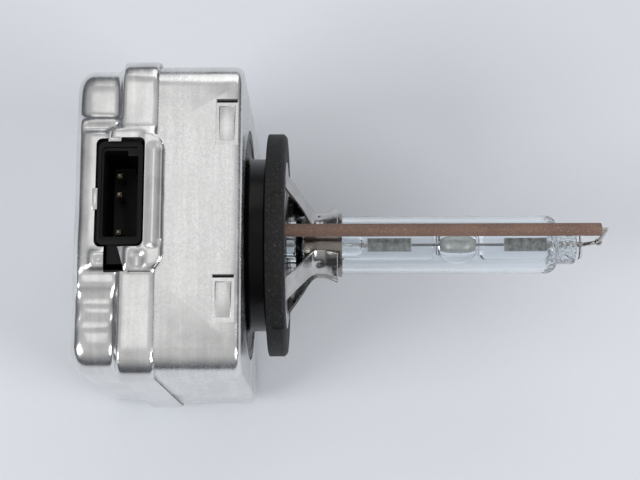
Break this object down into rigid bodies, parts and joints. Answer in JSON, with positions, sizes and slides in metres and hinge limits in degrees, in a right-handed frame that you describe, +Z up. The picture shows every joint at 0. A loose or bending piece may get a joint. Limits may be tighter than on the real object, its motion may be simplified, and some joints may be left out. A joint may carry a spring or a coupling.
{
  "type": "headlight bulb",
  "caption": "Gas-discharge headlight bulb: clear glass capsule with side return rod on a round black base, joined to a square sheet-metal igniter box with a plug socket.",
  "frame": {"origin": "on the bulb's axis, in the front plane of the reference ring", "axes": "+X along the bulb towards the glass tip; +Z up, towards the connector face, as the lamp lies on its back; +Y across"},
  "size_m": [0.0807, 0.0484, 0.0478],
  "materials": {
    "tinned_can": "bright tinned sheet, soft drawing marks",
    "tinned_cover": "bright tinned sheet, soft drawing marks",
    "socket_plastic": "satin black",
    "contact_brass": "tinned brass",
    "base_plastic": "glossy black",
    "ring_plastic": "fine grained, dark grey",
    "spring_steel": "bright stainless sheet",
    "band_steel": "bright stainless sheet",
    "outer_glass": "clear, polished",
    "inner_quartz": "clear, fire polished",
    "tungsten": "dull grey",
    "molybdenum": "satin grey foil",
    "salts": "pale yellow-green crust",
    "brown_ceramic": "matt brown, finely speckled",
    "nickel_wire": "dull nickel",
    "copper_wire": "bare copper",
    "housing_plastic": "matt black",
    "board": "brown laminate",
    "ferrite": "matt dark grey",
    "bobbin_plastic": "natural plastic",
    "winding_copper": "enamelled copper",
    "primary_copper": "thick enamelled copper",
    "white_ceramic": "white ceramic",
    "cap_metal": "nickel plated",
    "capacitor_case": "red moulded case",
    "resistor_body": "blue lacquer"
  },
  "bodies": {
    "root": {"main_can": "tinned_can", "rear_cover": "tinned_cover", "connector_receptacle": "socket_plastic", "supply_contact": "contact_brass", "trigger_contact": "contact_brass", "return_contact": "contact_brass", "base_body": "base_plastic", "reference_ring": "ring_plastic", "holder_ring": "spring_steel", "leg_upper_front": "spring_steel", "leg_lower_front": "spring_steel", "leg_lower_back": "spring_steel", "leg_upper_back": "spring_steel", "clamp_band": "band_steel", "outer_bulb": "outer_glass", "arc_tube": "inner_quartz", "electrode_front": "tungsten", "electrode_back": "tungsten", "foil_front": "molybdenum", "foil_back": "molybdenum", "lead_front": "nickel_wire", "lead_back": "nickel_wire", "halide_salts": "salts", "ceramic_tube": "brown_ceramic", "return_wire": "nickel_wire", "high_voltage_terminal": "contact_brass", "high_voltage_lead": "copper_wire", "igniter_housing": "housing_plastic", "carrier_plate": "board", "transformer_core": "ferrite", "transformer_bobbin": "bobbin_plastic", "secondary_winding": "winding_copper", "primary_winding": "primary_copper", "spark_gap_body": "white_ceramic", "spark_gap_caps": "cap_metal", "pulse_capacitor": "capacitor_case", "bleed_resistor": "resistor_body"}
  },
  "joints": []
}
